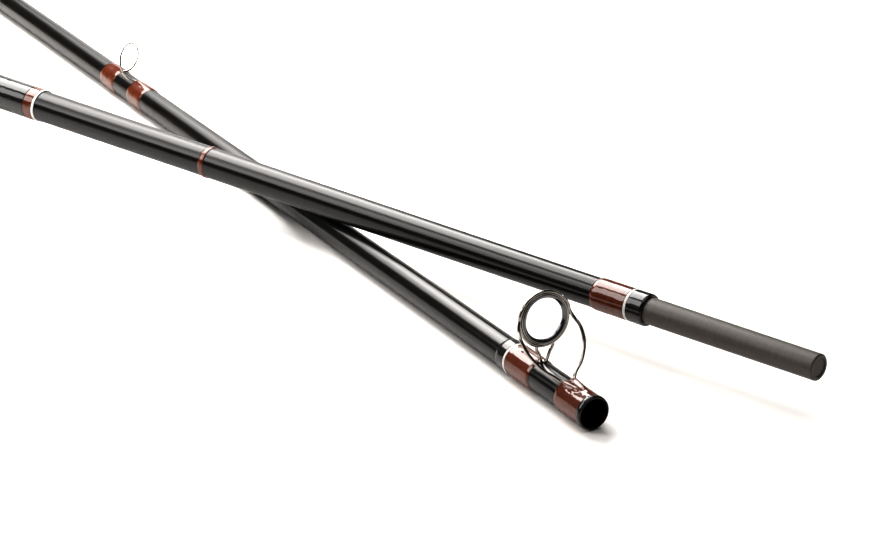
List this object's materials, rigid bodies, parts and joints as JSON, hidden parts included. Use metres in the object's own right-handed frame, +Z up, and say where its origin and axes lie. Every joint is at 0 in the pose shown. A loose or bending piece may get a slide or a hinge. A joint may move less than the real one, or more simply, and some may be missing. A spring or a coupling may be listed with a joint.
{
  "type": "fishing rod",
  "caption": "Three-piece two-handed fly rod taken apart: butt section with grips and reel seat, middle section with guides, and tip section.",
  "frame": {"origin": "on the axis of the middle section's socket, where its straight bore begins", "axes": "+X out of the socket mouth along the middle section's axis, +Z up towards the guides"},
  "size_m": [1.0807, 0.369, 0.049],
  "materials": {
    "blank": "gloss resin over carbon fibre with fine transverse tape ridges",
    "spigot_carbon": "bare ground carbon fibre, matt",
    "spigot_plug": "matt",
    "white_thread": "thread under clear resin",
    "brown_thread": "russet thread under thick clear gloss resin",
    "black_resin": "black thread under thick gloss resin",
    "ceramic_ring": "polished dark ceramic",
    "guide_wire": "polished smoke-tinted plated wire",
    "cork": "sanded natural cork rings",
    "butt_rubber": "matt",
    "seat_wood": "varnished hardwood",
    "seat_metal": "black anodised, satin"
  },
  "bodies": {
    "middle_section": {"mid_blank": "blank", "mid_ferrule_end_wrap": "black_resin", "mid_ferrule_trim": "white_thread", "mid_ferrule_wrap": "brown_thread", "mid_snake_1_butt_wrap": "brown_thread", "mid_snake_1_guide": "guide_wire", "mid_snake_1_tip_wrap": "brown_thread", "mid_snake_2_butt_wrap": "brown_thread", "mid_snake_2_guide": "guide_wire", "mid_snake_2_tip_wrap": "brown_thread", "mid_snake_3_butt_wrap": "brown_thread", "mid_snake_3_guide": "guide_wire", "mid_snake_3_tip_wrap": "brown_thread", "mid_spigot": "spigot_carbon", "mid_spigot_plug": "spigot_plug", "socket_rim": "black_resin", "stripping_front_wrap": "brown_thread", "stripping_guide_frame": "guide_wire", "stripping_guide_insert": "ceramic_ring", "stripping_guide_rim": "guide_wire", "stripping_rear_edge_wrap": "black_resin", "stripping_rear_trim": "white_thread", "stripping_rear_wrap": "brown_thread"},
    "butt_section": {"butt_blank": "blank", "butt_cap": "butt_rubber", "butt_ferrule_end_wrap": "black_resin", "butt_ferrule_trim": "white_thread", "butt_ferrule_wrap": "brown_thread", "butt_spigot": "spigot_carbon", "butt_spigot_plug": "spigot_plug", "fixed_hood": "seat_metal", "fore_grip": "cork", "marker_band": "brown_thread", "rear_grip": "cork", "reel_seat_barrel": "seat_metal", "reel_seat_spacer": "seat_wood", "signature_band": "brown_thread", "signature_trim": "white_thread", "signature_wrap": "black_resin", "winding_check": "seat_metal"},
    "sliding_hood": {"sliding_hood": "seat_metal"},
    "lock_ring": {"lock_ring": "seat_metal"},
    "tip_section": {"tip_blank": "blank", "tip_snake_1_guide": "guide_wire", "tip_snake_1_wraps": "brown_thread", "tip_snake_2_guide": "guide_wire", "tip_snake_2_wraps": "brown_thread", "tip_snake_3_guide": "guide_wire", "tip_snake_3_wraps": "brown_thread", "tip_snake_4_guide": "guide_wire", "tip_snake_4_wraps": "brown_thread", "tip_socket_edge_wrap": "black_resin", "tip_socket_trim": "white_thread", "tip_socket_wrap": "brown_thread", "tip_top": "guide_wire"}
  },
  "joints": [
    {"name": "butt_section_lift", "type": "slide", "parent": "middle_section", "child": "butt_section", "axis": [0, 0, 1], "range_m": [0, 0.12]},
    {"name": "tip_section_lift", "type": "slide", "parent": "middle_section", "child": "tip_section", "axis": [0, 0, 1], "range_m": [0, 0.12]},
    {"name": "hood_slide", "type": "slide", "parent": "butt_section", "child": "sliding_hood", "axis": [0.9449, 0.3272, 0.0084], "range_m": [0, 0.012]},
    {"name": "lock_ring_turn", "type": "hinge", "parent": "sliding_hood", "child": "lock_ring", "pos_m": [-0.77543, -0.19407, 0.00814], "axis": [0.9449, 0.3272, 0.0084], "range_deg": [0, 2160]}
  ],
  "couplings": [
    {"joint": "lock_ring_turn", "follows": "hood_slide", "rad_per_m": 3141.6}
  ]
}
